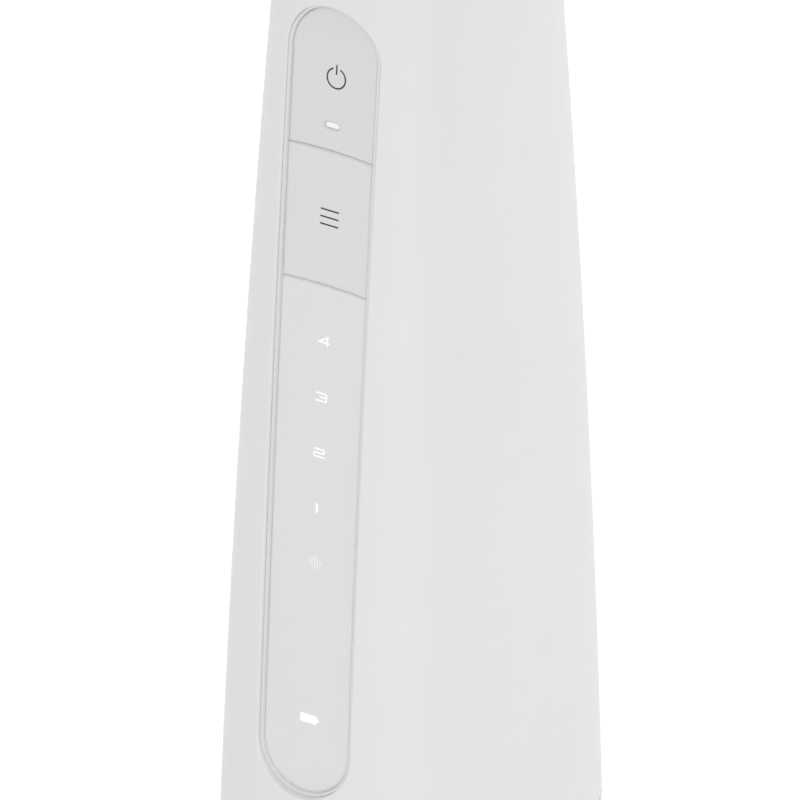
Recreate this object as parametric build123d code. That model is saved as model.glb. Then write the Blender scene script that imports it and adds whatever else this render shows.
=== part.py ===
from build123d import *
from math import acos, asin, atan2, copysign, cos, pi, radians, sin, sqrt
import os

# Cordless water flosser. Millimetres, +Z up, control panel facing -Y.
# The origin is the centre of the base, on the surface that it stands on.

# ---------------------------------------------------------------- body shape
body_height = 232.0  # top edge of the grip sleeve
base_half_width = 31.3  # half width in X at the floor
mid_half_width = 27.9  # half width in X halfway up the body
top_half_width = 21.7  # half width in X at the sleeve's top edge
depth_ratio = 1.26  # front-to-back size over side-to-side size
squareness = 2.5  # 2 is an ellipse, more is flatter on each side
shell_wall = 2.2
seam_gap = 0.3  # between pieces that part company
face_gap = 0.15  # between pieces that are fixed in each other
rim_round = 0.35  # on the outer edges of sleeve, tank and cap, where they meet
run_clear = 0.06  # radial clearance of a shaft or piston in its bore

# ---------------------------------------------------------------- control panel
panel_top_margin = 8.9  # from the sleeve's top edge down to the panel
panel_bottom_margin = 18.0  # from the sleeve's bottom edge up to the panel
panel_width = 20.0
panel_drop_top = 2.3  # how far the panel's face lies below the body's front line
panel_drop_mid = 2.25
panel_drop_bottom = 2.05
pocket_depth = 3.2  # panel face to pocket floor
pocket_floor = 1.8
pocket_rim = 2.5
mouth_round = 0.35
bezel_wall = 0.55
bezel_slit = 0.1
bezel_proud = 0.3
button_gap = 0.2
button_wall = 1.6
button_round = 0.3
split_gap = 0.35
split_rise = 0.45  # how much the split between two buttons arches upwards
power_split = 28.9  # the next values are distances below the panel's top
mode_split = 55.4
power_icon = 14.1
mode_icon = 41.9
power_led = 23.9
light_places = (66.7, 77.8, 88.9, 99.9, 111.0, 141.9)
led_length = 3.0
led_width = 1.0
led_recess = 0.35
membrane_wall = 0.8
nub_radius = 2.4
light_well_radius = 1.6

# ---------------------------------------------------------------- control board
board_depth = 6.7  # panel face to the board's front
board_wall = 1.6
board_width = 15.0
board_end_margin = 4.5
switch_size = 4.5
switch_height = 1.3
led_chip = (2.0, 1.2, 0.6)
post_radius = 2.2
small_screw_radius = 0.9
small_head_radius = 1.8
small_head_height = 1.2
small_slot = (2.4, 0.5, 1.0)  # screwdriver slot: length, width, depth both ways
board_posts = (6.5, 35.0, 72.2, 126.0)  # below the panel's top
post_offset = 5.0
post_cap = 1.1  # left closed above a board screw

# ---------------------------------------------------------------- tank and base
tank_top = 47.7  # the split between tank and sleeve lies just above
tank_wall = 2.2
tank_bottom = 0.8
base_round = 3.0
neck_height = 4.3
neck_wall = 1.8
port_radius = 8.0
port_y = -11.0
foot_inset = 8.0
foot_width = 3.0
foot_recess = 0.8

# ---------------------------------------------------------------- fill door on the tank's back
door_width = 18.0
door_bottom = 21.0
door_top = 38.0
door_wall = 2.7  # leaf at its middle
door_seal_wall = 1.0
door_seal_width = 1.4
door_rim = 2.6
door_ledge = 2.0
door_round = 4.0
hinge_drop = 2.5  # hinge axis below the leaf
lip_drop = 1.1  # the pocket's outer lip, lowered so that the leaf can swing past it
knuckle_radius = 1.8
knuckle_length = 11.0
door_pin_radius = 0.9
door_pin_length = 17.0

# ---------------------------------------------------------------- floor of the housing
floor_rise = 2.0  # underside of the floor above the tank's neck
floor_wall = 3.0
boss_radius = 6.8
port_ring_section = 0.8
suction_radius = 2.5
suction_bore = 1.5
filter_radius = 4.4
filter_height = 9.0
filter_bottom = 5.0
filter_slots = 10

# ---------------------------------------------------------------- chassis
plate_front = -3.5
plate_wall = 2.0
plate_half_width = 13.0
foot_flange_depth = 12.0
foot_flange_wall = 3.0
chassis_screw_radius = 1.2
chassis_screw_x = 9.0
chassis_head_radius = 2.3
chassis_head_height = 1.6
chassis_screw_length = 8.0
chassis_slot = (3.0, 0.7, 1.4)

# ---------------------------------------------------------------- pump and drive
head_rise = 9.0  # pump head above the housing's floor
head_height = 8.0
head_half_width = 10.0
head_half_depth = 7.0
cylinder_radius = 7.3
bore_radius = 5.05
cylinder_height = 20.0
flange_half_width = 12.5
flange_wall = 2.4
piston_height = 5.0
rod_radius = 1.9
crank_throw = 2.5
crank_pin_radius = 1.4
gear_clear = 0.88  # teeth above the pump cylinder's top
gear_module = 0.8
gear_teeth = 36
pinion_teeth = 12
pressure_angle = 25.0
tooth_addendum = 0.9
tooth_dedendum = 1.25
backlash = 0.12
gear_wall = 4.0
gear_front = -8.6
axle_radius = 2.0
yoke_front = -13.6
yoke_wall = 4.0
yoke_bar = 2.4
valve_radius = 2.4
valve_wall = 0.8
valve_offset = 2.8
barb_radius = 1.15
barb_length = 4.0
tube_radius = 2.2
tube_bore = 1.2

# ---------------------------------------------------------------- motor
can_radius = 12.0
can_wall = 1.0
can_length = 25.0
motor_boss_radius = 3.0
motor_boss_length = 1.6
motor_screw_x = 8.0
magnet_wall = 1.7
magnet_offset = 5.0  # magnets and rotor behind the can's front
rotor_radius = 8.7
rotor_length = 15.0
rotor_slots = 5
rotor_slot_radius = 2.0
rotor_slot_middle = 7.2
shaft_radius = 1.0
end_cap_wall = 2.5
terminal_x = 6.0
terminal_size = (2.8, 2.5, 0.6)

# ---------------------------------------------------------------- battery
cell_radius = 9.2
cell_length = 65.0
cell_clear = 0.3
shelf_clear = 1.5  # battery shelf above the motor can
shelf_wall = 2.0
clip_height = 8.0
clip_wall = 1.6

# ---------------------------------------------------------------- top cap and nozzle
dome_height = 14.0
dome_reach = 17.0  # height at which the dome would close
cap_wall = 2.0
cap_skirt = 6.0
dial_radius = 10.8
dial_height = 7.7
dial_flutes = 18
flute_radius = 1.3
dial_neck_radius = 8.2
dial_lip = 0.9
dial_bore = 3.9
key_width = 1.2
key_reach = 4.6
stem_radius = 3.5
stem_bore = 1.4
stem_rise = 7.0  # stem's end above the seat's
stem_ring_section = 0.5
collar_radius = 6.4
collar_height = 4.0
tip_base_radius = 3.3
tip_end_radius = 2.1
tip_straight = 34.0
tip_bend_radius = 9.0
tip_bend_angle = 70.0
tip_point = 5.0
tip_point_radius = 1.3
jet_radius = 0.5
tip_bore = 0.9
seat_drop = 14.0  # seat's lower end below the sleeve's top edge
seat_height = 20.0
seat_radius = 7.0
seat_bore = 3.85
seat_flange_drop = 3.0  # flange's underside below the sleeve's top edge
seat_flange_wall = 2.5
seat_flange_margin = 0.95  # flange's end from the cap's inner wall
seat_flange_half_depth = 6.0
seat_post_inset = 2.9  # screw posts in from the flange's ends
seat_post_radius = 2.6
barb_rise = 4.0  # outlet barb above the seat's lower end
latch_wall = 1.5
latch_half_width = 6.4
latch_travel = 2.0
latch_slot = 4.0
release_width = 14.0
release_height = 6.0
release_proud = 0.8
release_flange = 1.2
spring_radius = 1.9
spring_wire = 0.35
spring_turns = 5
spring_drop = 3.6  # spring's axis below the release button's middle

# ---------------------------------------------------------------- charging port on the back
charge_rise = 17.0  # middle of the flap above the housing's floor
socket_half = (4.5, 1.65)
socket_wall = 0.35
socket_length = 7.0
cover_width = 15.4
cover_height = 8.4
cover_wall = 1.3
cover_round = 2.5
cover_plug = (6.6, 1.2, 1.2)  # width, height, reach of the plug on the flap
port_boss_depth = 8.0
port_boss_rim = 2.0

# ---------------------------------------------------------------- levels, from the floor up
housing_bottom = tank_top + seam_gap
floor_z = tank_top + neck_height + floor_rise
floor_top = floor_z + floor_wall
charge_z = floor_top + charge_rise
pump_y = port_y
head_bottom = floor_top + head_rise
cylinder_bottom = head_bottom + head_height
cylinder_top = cylinder_bottom + cylinder_height
piston_mid = (cylinder_bottom + cylinder_top) / 2
gear_z = cylinder_top + gear_clear + gear_module * (gear_teeth / 2 + tooth_addendum)
pinion_z = gear_z + gear_module * (gear_teeth + pinion_teeth) / 2
cell_bottom = pinion_z + can_radius + shelf_clear + shelf_wall + cell_clear
cell_top = cell_bottom + cell_length
panel_bottom = housing_bottom + panel_bottom_margin
panel_top = body_height - panel_top_margin
seat_bottom = body_height - seat_drop
seat_top = seat_bottom + seat_height
seat_flange_z = body_height - seat_flange_drop
barb_z = seat_bottom + barb_rise
stem_bottom = seat_bottom + stem_rise
stem_ring_z = seat_flange_z
latch_z = seat_top + seam_gap
release_z = seat_top
spring_z = release_z - spring_drop

os.makedirs("parts", exist_ok=True)


def write(name, solid):
    """Write one piece, or one group of like pieces, to its own STEP file."""
    export_step(solid, f"parts/{name}.step")


# ================================================================ shared shape
def half_width(z):
    """Half width in X at height z: one long, slightly hollow-sided curve through three heights."""
    t = z / body_height
    sag = mid_half_width - (base_half_width + top_half_width) / 2
    return base_half_width + (top_half_width - base_half_width) * t + 4 * sag * t * (1 - t)


def half_depth(z):
    return depth_ratio * half_width(z)


def surface_y(x, z):
    """How far the body's rear surface lies from the middle at (x, z)."""
    side = min(abs(x) / half_width(z), 1.0)
    return half_depth(z) * (1 - side**squareness) ** (1 / squareness)


def oval(z, a, b):
    """Level face at height z, whose outline has half width a and half depth b."""
    power = 2 / squareness
    steps = 32
    points = []
    for i in range(steps):
        turn = 2 * pi * i / steps
        x = -sin(turn)
        y = cos(turn)
        points.append((copysign(a * abs(x) ** power, x), copysign(b * abs(y) ** power, y)))
    return Plane.XY.offset(z) * make_face(Spline(*points, periodic=True))


def section(z, inset=0.0):
    return oval(z, half_width(z) - inset, half_depth(z) - inset)


def body_loft(low, high, inset=0.0, spans=4):
    """Solid that follows the body's surface, an inset below it, between two heights."""
    return loft([section(low + (high - low) * i / spans, inset) for i in range(spans + 1)])


def rod(start, direction, radius, length):
    """Round bar from a point along a direction."""
    return Plane(origin=start, z_dir=direction) * extrude(Circle(radius), length)


def pipe(start, direction, radius, bore, length):
    return Plane(origin=start, z_dir=direction) * extrude(Circle(radius) - Circle(bore), length)


def block(low, high):
    size = [high[i] - low[i] for i in range(3)]
    middle = [(high[i] + low[i]) / 2 for i in range(3)]
    return Pos(*middle) * Box(*size)


def ring(z, middle_radius, section_radius, x=0.0, y=0.0):
    """O-ring lying level."""
    return Pos(x, y, z) * Torus(middle_radius, section_radius)


# ================================================================ panel frame
panel_length = panel_top - panel_bottom
panel_middle = (panel_top + panel_bottom) / 2
face_top = half_depth(panel_top) - panel_drop_top
face_mid = half_depth(panel_middle) - panel_drop_mid
face_bottom = half_depth(panel_bottom) - panel_drop_bottom
lean = atan2(face_bottom - face_top, panel_length)
crown = (face_mid - (face_top + face_bottom) / 2) * cos(lean)
panel_run = panel_length / cos(lean)
chord_mid = (face_top + face_bottom) / 2
panel_frame = Plane(origin=(0, -chord_mid, panel_middle), x_dir=(1, 0, 0), z_dir=(0, -cos(lean), sin(lean)))


def below_top(distance):
    """Place along the panel, from its middle, of what lies this far below its top."""
    return panel_run / 2 - distance


def slab(outer, inner):
    """Layer that follows the panel's long curve between two depths below its face."""
    reach = panel_run / 2 + 10

    def curve(depth):
        fall = crown * (1 - (2 * reach / panel_run) ** 2)
        return ThreePointArc((-reach, fall - depth), (0, crown - depth), (reach, fall - depth))

    front = curve(outer)
    back = curve(inner)
    ends = Line(front @ 0, back @ 0) + Line(front @ 1, back @ 1)
    return extrude(Plane.YZ * make_face(front + back + ends), panel_width, both=True)


def stadium(inset):
    return SlotOverall(panel_run - 2 * inset, panel_width - 2 * inset, rotation=90)


def arch(distance, offset):
    """Disc below an arched split line, grown or shrunk by an offset."""
    half = panel_width / 2
    radius = (half**2 + split_rise**2) / (2 * split_rise)
    return Pos(0, below_top(distance) - radius) * Circle(radius + offset)


def panel_piece(outline, outer, inner, rounding=0.0):
    """Piece of the panel: an outline cut from a layer, with its front edges rounded."""
    piece = slab(outer, inner) & (Pos(0, 0, -pocket_depth * 4) * extrude(outline, pocket_depth * 8))
    if rounding:
        piece = fillet(piece.faces().sort_by(Axis.Z)[-1].edges(), rounding)
    return piece


def on_panel(piece):
    return panel_frame.location * piece


pocket = stadium(0)
key_inset = bezel_slit + bezel_wall + button_gap

# ================================================================ housing
outer_body = body_loft(housing_bottom, body_height)
housing = outer_body - body_loft(housing_bottom - 2, body_height + 2, shell_wall)
panel_back = panel_piece(stadium(-pocket_rim), -pocket_depth * 3, pocket_depth + pocket_floor)
housing += on_panel(panel_back) & outer_body
housing -= on_panel(panel_piece(pocket, -pocket_depth * 3, pocket_depth))


def around_mouth(edge):
    """True for the edges where the pocket's wall meets the body's surface."""
    spot = panel_frame.to_local_coords(edge @ 0.5)
    inside = abs(spot.X) < panel_width / 2 + 0.1 and abs(spot.Y) < panel_run / 2 + 0.1
    return inside and spot.Z > -pocket_depth / 2


def around_rim(edge, z, inset):
    """True for the closed edge of a level rim at height z, an inset below the surface."""
    spot = edge @ 0.37
    across = abs(spot.X) / (half_width(z) - inset)
    along = abs(spot.Y) / (half_depth(z) - inset)
    return abs(spot.Z - z) < 0.01 and across**squareness + along**squareness > 0.99


housing = fillet(housing.edges().filter_by(around_mouth), mouth_round)
rims = [edge for edge in housing.edges()
        if around_rim(edge, housing_bottom, 0) or around_rim(edge, body_height, 0)]
housing = fillet(rims, rim_round)

wells = [(place, nub_radius + 0.4) for place in (power_icon, mode_icon)]
wells += [(place, light_well_radius) for place in light_places]
for place, radius in wells:
    well = Pos(0, below_top(place), -pocket_depth * 3)
    housing -= on_panel(well * Cylinder(radius, pocket_depth * 6))
post_height = board_depth - pocket_depth - pocket_floor / 2
screw_grip = post_height - post_cap
for place in board_posts:
    for side in (-1, 1):
        post = Pos(side * post_offset, below_top(place), -board_depth)
        housing += on_panel(post * extrude(Circle(post_radius), post_height))
        housing -= on_panel(post * Pos(0, 0, -1) * extrude(Circle(small_screw_radius), screw_grip + 1.2))

# charging port: a shallow pocket for the flap and a boss that holds the socket
port_face = half_depth(charge_z) - shell_wall
port_boss = block(
    (-cover_width / 2, port_face - port_boss_depth, charge_z - cover_height / 2 - port_boss_rim),
    (cover_width / 2, port_face + shell_wall, charge_z + cover_height / 2 + port_boss_rim),
)
housing += port_boss & outer_body


def rear_outline(width, height, radius, z):
    """Rounded rectangle on a plane that faces the back, centred at height z."""
    upright = Plane(origin=(0, 0, z), x_dir=(-1, 0, 0), z_dir=(0, 1, 0))
    return upright * RectangleRounded(width, height, radius)


def rear_prism(width, height, radius, z, start, length):
    return Pos(0, start, 0) * extrude(rear_outline(width, height, radius, z), length)


cover_floor = surface_y(cover_width / 2, charge_z) - cover_wall
housing -= rear_prism(cover_width + 2 * seam_gap, cover_height + 2 * seam_gap, cover_round,
                      charge_z, cover_floor, 3 * shell_wall)
socket_front = cover_floor
socket_slot = rear_prism(2 * socket_half[0] + 2 * face_gap, 2 * socket_half[1] + 2 * face_gap,
                         socket_half[1], charge_z, socket_front - port_boss_depth * 2,
                         port_boss_depth * 2 + 1)
housing -= socket_slot

# ================================================================ panel pieces
bezel = panel_piece(stadium(bezel_slit) - stadium(bezel_slit + bezel_wall), -bezel_proud, pocket_depth)
keys = stadium(key_inset)
power_outline = keys - arch(power_split, split_gap / 2)
mode_outline = (keys & arch(power_split, -split_gap / 2)) - arch(mode_split, split_gap / 2)
lens_outline = keys & arch(mode_split, -split_gap / 2)
led_outline = Pos(0, below_top(power_led)) * SlotOverall(led_length, led_width)
led_hole = Pos(0, below_top(power_led)) * SlotOverall(led_length + 2 * face_gap, led_width + 2 * face_gap)
power_button = panel_piece(power_outline, 0, button_wall, button_round)
power_button -= Pos(0, 0, -pocket_depth) * extrude(led_hole, pocket_depth * 2)
power_window = panel_piece(led_outline, led_recess, button_wall)
mode_button = panel_piece(mode_outline, 0, button_wall, button_round)
indicator_lens = panel_piece(lens_outline, 0, pocket_depth, button_round)
membrane_edge = stadium(key_inset) - arch(mode_split, split_gap)
membrane = panel_piece(membrane_edge, pocket_depth - membrane_wall, pocket_depth)
for place in (power_icon, mode_icon):
    spot = Pos(0, below_top(place), -pocket_depth - pocket_floor - 0.1)
    membrane += spot * extrude(Circle(nub_radius), pocket_floor + 1)

# ================================================================ control board
board_top = -board_depth
board_low = Pos(0, 0, board_top - board_wall)
board = board_low * extrude(Rectangle(board_width, panel_run - 2 * board_end_margin), board_wall)
board_screws = []
for place in board_posts:
    for side in (-1, 1):
        spot = Pos(side * post_offset, below_top(place), board_top - board_wall)
        board -= spot * Cylinder(small_screw_radius + 0.1, board_wall * 4)
        shank = spot * extrude(Circle(small_screw_radius - 0.05), board_wall + screw_grip)
        head = spot * extrude(Circle(small_head_radius), -small_head_height)
        board_screws.append(on_panel(shank + head - spot * Pos(0, 0, -small_head_height) * Box(*small_slot)))
switches = []
for place in (power_icon, mode_icon):
    spot = Pos(0, below_top(place), board_top)
    body = spot * extrude(Rectangle(switch_size, switch_size), switch_height - 0.4)
    switches.append(on_panel(body + spot * extrude(Circle(switch_size / 4), switch_height)))
leds = []
for place in (power_led,) + light_places:
    spot = Pos(0, below_top(place), board_top)
    leds.append(on_panel(spot * extrude(Rectangle(led_chip[0], led_chip[1]), led_chip[2])))

# ================================================================ housing floor
floor_edge = shell_wall + face_gap
boss_end = tank_top - tank_wall + 0.3
ring_z = tank_top - tank_wall / 2
ring_middle = port_radius - run_clear - port_ring_section
housing_floor = body_loft(floor_z, floor_top, floor_edge, 1)
housing_floor += rod((0, port_y, boss_end), (0, 0, 1), boss_radius, floor_z - boss_end + 1)
housing_floor -= ring(ring_z, ring_middle, port_ring_section, 0, port_y)
housing_floor -= rod((0, port_y, boss_end - 1), (0, 0, 1), suction_radius + face_gap / 3, 5)
housing_floor += rod((0, port_y, floor_top - 0.5), (0, 0, 1), barb_radius, barb_length + 0.5)
housing_floor -= rod((0, port_y, boss_end), (0, 0, 1), barb_radius / 2, floor_top - boss_end + barb_length)
chassis_screw_y = plate_front + plate_wall + foot_flange_depth / 2
for side in (-1, 1):
    housing_floor -= rod((side * chassis_screw_x, chassis_screw_y, floor_z - 1), (0, 0, 1),
                         chassis_screw_radius + 0.1, floor_wall + 2)
port_ring = ring(ring_z, ring_middle, port_ring_section, 0, port_y)
suction_tube = pipe((0, port_y, filter_bottom + filter_height - 2), (0, 0, 1), suction_radius, suction_bore,
                    boss_end + 3 - filter_bottom - filter_height)
suction_filter = rod((0, port_y, filter_bottom), (0, 0, 1), filter_radius, filter_height)
suction_filter -= rod((0, port_y, filter_bottom + 1.2), (0, 0, 1), filter_radius - 1.2, filter_height - 4)
suction_filter -= rod((0, port_y, filter_bottom + filter_height - 2), (0, 0, 1),
                      suction_radius + face_gap / 3, 3)
suction_filter -= rod((0, port_y, filter_bottom + 1), (0, 0, 1), suction_bore, filter_height)
slot_bar = Box(filter_radius * 2 + 1, 1.0, filter_height - 4.5)
slot_middle = Pos(0, port_y, filter_bottom + filter_height / 2 - 1)
for i in range(filter_slots // 2):
    suction_filter -= slot_middle * Rot(0, 0, 360 * i / filter_slots) * slot_bar

# ================================================================ tank
tank_shell = body_loft(tank_bottom + base_round, tank_top, 0, 3)
round_steps = 4
base_faces = []
for i in range(round_steps + 1):
    turn = pi / 2 * i / round_steps
    rise = base_round * (1 - cos(turn))
    base_faces.append(section(tank_bottom + rise, base_round * (1 - sin(turn))))
tank_outer = tank_shell + loft(base_faces)
tank_outer = fillet([edge for edge in tank_outer.edges() if around_rim(edge, tank_top, 0)], rim_round)
neck = body_loft(tank_top - 0.5, tank_top + neck_height, shell_wall + seam_gap + 0.1, 1)
neck -= body_loft(tank_top - 1.5, tank_top + neck_height + 1, shell_wall + seam_gap + 0.1 + neck_wall, 1)
tank = tank_outer + neck
tank -= body_loft(tank_bottom + tank_wall, tank_top - tank_wall, tank_wall, 3)
tank -= rod((0, port_y, tank_top - 2 * tank_wall), (0, 0, 1), port_radius, 3 * tank_wall)

# fill door: a boss behind it, a pocket for leaf and seal, and the way in
door_middle = (door_top + door_bottom) / 2
door_height = door_top - door_bottom
door_inner = half_depth(door_top) - door_wall
ledge_front = door_inner - door_seal_wall - seam_gap
hinge_z = door_bottom - hinge_drop
hinge_y = surface_y(door_width / 2, hinge_z) - knuckle_radius + 0.2
boss_low = hinge_z - knuckle_radius - 2.4
door_boss = block(
    (-door_width / 2 - 2.5, ledge_front - door_ledge, boss_low),
    (door_width / 2 + 2.5, half_depth(0), door_top + 2.8),
)
tank += door_boss & tank_outer
tank -= rear_prism(door_width + 2 * seam_gap, door_height + 2 * seam_gap, door_round,
                   door_middle, ledge_front, 20)
tank -= rear_prism(door_width + 2 * seam_gap, door_height + 2 * seam_gap + lip_drop, door_round,
                   door_middle - lip_drop / 2, hinge_y + door_pin_radius, 20)
tank -= rear_prism(door_width - 2 * door_rim, door_height - 2 * door_rim, door_round - door_rim / 2,
                   door_middle, ledge_front - 20, 22)
knuckle_room = knuckle_radius + 0.5
tank -= block((-knuckle_length / 2 - seam_gap, hinge_y - knuckle_room, hinge_z - knuckle_room - 0.9),
              (knuckle_length / 2 + seam_gap, hinge_y + 20, door_bottom + 2))
tank -= rod((-door_pin_length / 2, hinge_y, hinge_z), (1, 0, 0), door_pin_radius, door_pin_length)
tank -= body_loft(0, foot_recess + tank_bottom, foot_inset, 1) - body_loft(-1, 3, foot_inset + foot_width, 1)
foot_ring = body_loft(0, foot_recess + tank_bottom, foot_inset + 0.05, 1)
foot_ring -= body_loft(-1, 3, foot_inset + foot_width - 0.05, 1)

door_leaf = rear_prism(door_width, door_height, door_round, door_middle, door_inner, 20)
door_leaf &= body_loft(1, tank_top)
knuckle = rod((-knuckle_length / 2, hinge_y, hinge_z), (1, 0, 0), knuckle_radius, knuckle_length)
neck_bar = block((-knuckle_length / 2, hinge_y - 0.9, hinge_z),
                 (knuckle_length / 2, hinge_y + knuckle_radius, door_bottom + 1.5))
tank_lid = door_leaf + knuckle + neck_bar
tank_lid -= rod((-knuckle_length, hinge_y, hinge_z), (1, 0, 0), door_pin_radius + run_clear,
                knuckle_length * 2)
tank_lid -= rear_prism(door_width / 2, 1.6, 0.7, door_top - 1.6, half_depth(door_top) - 0.9, 4)
seal_outer = rear_prism(door_width - 2.2, door_height - 2.2, door_round - 1.1, door_middle,
                        door_inner - door_seal_wall, door_seal_wall)
seal_inner = rear_prism(door_width - 2.2 - 2 * door_seal_width, door_height - 2.2 - 2 * door_seal_width,
                        door_round - 1.1 - door_seal_width / 2, door_middle, door_inner - 5, 10)
lid_seal = seal_outer - seal_inner
lid_pin = rod((-door_pin_length / 2, hinge_y, hinge_z), (1, 0, 0), door_pin_radius, door_pin_length)

# ================================================================ chassis
plate_back = plate_front + plate_wall
plate_top = cell_top + shelf_wall
chassis = block((-plate_half_width, plate_front, floor_top), (plate_half_width, plate_back, plate_top))
chassis += block((-plate_half_width, plate_front, floor_top),
                 (plate_half_width, plate_back + foot_flange_depth, floor_top + foot_flange_wall))
cell_y = plate_back + cell_clear + cell_radius
for z in (cell_bottom - cell_clear - shelf_wall, cell_top + cell_clear):
    chassis += block((-cell_radius, plate_back, z), (cell_radius, cell_y + cell_radius * 0.6, z + shelf_wall))
for z in (cell_bottom + 10, cell_top - 10 - clip_height):
    arms = pipe((0, cell_y, z), (0, 0, 1), cell_radius + cell_clear + clip_wall, cell_radius + cell_clear,
                clip_height)
    arms &= block((-20, plate_back - 1, z), (20, cell_y + cell_radius * 0.35, z + clip_height))
    chassis += arms
chassis -= rod((0, plate_front - 1, pinion_z), (0, 1, 0), motor_boss_radius + face_gap, plate_wall + 2)
chassis -= rod((0, plate_front - 1, gear_z), (0, 1, 0), axle_radius, plate_wall + 2)
chassis_screws = []
for side in (-1, 1):
    spot = (side * chassis_screw_x, chassis_screw_y, floor_z)
    chassis -= rod(spot, (0, 0, 1), chassis_screw_radius + 0.02, chassis_screw_length)
    screw = rod(spot, (0, 0, 1), chassis_screw_radius, chassis_screw_length - 2.5)
    screw += rod(spot, (0, 0, -1), chassis_head_radius, chassis_head_height)
    screw -= Pos(spot[0], spot[1], floor_z - chassis_head_height) * Box(*chassis_slot)
    chassis_screws.append(screw)
motor_screws = []
for side in (-1, 1):
    spot = (side * motor_screw_x, plate_front, pinion_z)
    chassis -= rod((spot[0], plate_front - 1, pinion_z), (0, 1, 0), small_screw_radius + 0.1, plate_wall + 2)
    screw = rod(spot, (0, 1, 0), small_screw_radius, plate_wall + can_wall)
    screw += rod(spot, (0, -1, 0), small_head_radius, small_head_height)
    screw -= Pos(spot[0], plate_front - small_head_height, pinion_z) * Box(
        small_slot[0], small_slot[2], small_slot[1])
    motor_screws.append(screw)

# ================================================================ motor
can_front = plate_back
can_back = can_front + can_length
motor_can = pipe((0, can_front, pinion_z), (0, 1, 0), can_radius, can_radius - can_wall, can_length)
motor_can += pipe((0, can_front, pinion_z), (0, 1, 0), can_radius - can_wall / 2, motor_boss_radius - 0.4,
                  can_wall)
motor_can += pipe((0, can_front - motor_boss_length, pinion_z), (0, 1, 0), motor_boss_radius,
                  shaft_radius + run_clear, motor_boss_length + can_wall)
for side in (-1, 1):
    motor_can -= rod((side * motor_screw_x, can_front - 1, pinion_z), (0, 1, 0),
                     small_screw_radius + 0.02, can_wall + 1)
magnet_front = can_front + magnet_offset
magnets = pipe((0, magnet_front, pinion_z), (0, 1, 0), can_radius - can_wall,
               can_radius - can_wall - magnet_wall, rotor_length)
magnets -= block((-2, 0, pinion_z - 20), (2, 60, pinion_z + 20))
rotor = rod((0, gear_front, pinion_z), (0, 1, 0), shaft_radius, can_back + 1 - gear_front)
rotor_core = rod((0, magnet_front, pinion_z), (0, 1, 0), rotor_radius, rotor_length)
for i in range(rotor_slots):
    turn = 2 * pi * i / rotor_slots
    slot_spot = (rotor_slot_middle * cos(turn), magnet_front - 1, pinion_z + rotor_slot_middle * sin(turn))
    rotor_core -= rod(slot_spot, (0, 1, 0), rotor_slot_radius, rotor_length + 2)
rotor += rotor_core
end_cap = rod((0, can_back, pinion_z), (0, 1, 0), can_radius - 0.5, end_cap_wall)
end_cap -= rod((0, can_back - 1, pinion_z), (0, 1, 0), shaft_radius + run_clear, 3)
for side in (-1, 1):
    end_cap += Pos(side * terminal_x, can_back, pinion_z) * Box(
        terminal_size[0], end_cap_wall + terminal_size[1], terminal_size[2],
        align=(Align.CENTER, Align.MIN, Align.CENTER))

# ================================================================ gears
def tooth_outline(teeth):
    """Involute gear outline in its own plane, with a tooth along +X."""
    pitch_r = gear_module * teeth / 2
    base_r = pitch_r * cos(radians(pressure_angle))
    tip_r = pitch_r + tooth_addendum * gear_module
    root_r = pitch_r - tooth_dedendum * gear_module

    def roll(r):
        return sqrt(max((r / base_r) ** 2 - 1, 0)) - acos(min(base_r / r, 1))

    half = pi / (2 * teeth) - backlash / 4 / pitch_r + roll(pitch_r)
    start = max(base_r, root_r)
    radii = [start + (tip_r - start) * i / 4 for i in range(5)]
    points = []
    for tooth in range(teeth):
        middle = 2 * pi * tooth / teeth
        flank = [(r, roll(r) - half) for r in radii]
        if root_r < start:
            flank.insert(0, (root_r, -half))
        for r, turn in flank:
            points.append((r * cos(middle + turn), r * sin(middle + turn)))
        for r, turn in reversed(flank):
            points.append((r * cos(middle - turn), r * sin(middle - turn)))
    return make_face(Polyline(*points, close=True))


def gear_at(z, teeth, turn, front, wall):
    """Gear in the XZ plane with its axis along Y."""
    frame = Plane(origin=(0, front + wall, z), x_dir=(1, 0, 0), z_dir=(0, -1, 0))
    return frame * extrude(Rot(0, 0, turn) * tooth_outline(teeth), wall)


drive_gear = gear_at(gear_z, gear_teeth, 0, gear_front, gear_wall)
drive_gear -= rod((0, gear_front + 1.2, gear_z), (0, 1, 0), axle_radius + run_clear, gear_wall)
web_room = gear_module * gear_teeth / 2 - 2.6
drive_gear -= pipe((0, gear_front + 2.2, gear_z), (0, 1, 0), web_room, axle_radius + 2.2, gear_wall)
yoke_back = yoke_front + yoke_wall
drive_gear += rod((crank_throw, gear_front + 0.5, gear_z), (0, -1, 0), crank_pin_radius,
                  gear_front + 0.5 - yoke_front)
gear_axle = rod((0, gear_front + 1.5, gear_z), (0, 1, 0), axle_radius, plate_back - gear_front - 1.5)
pinion = gear_at(pinion_z, pinion_teeth, 180 / pinion_teeth, gear_front, gear_wall)
pinion -= rod((0, gear_front - 1, pinion_z), (0, 1, 0), shaft_radius, gear_wall + 2)

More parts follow.
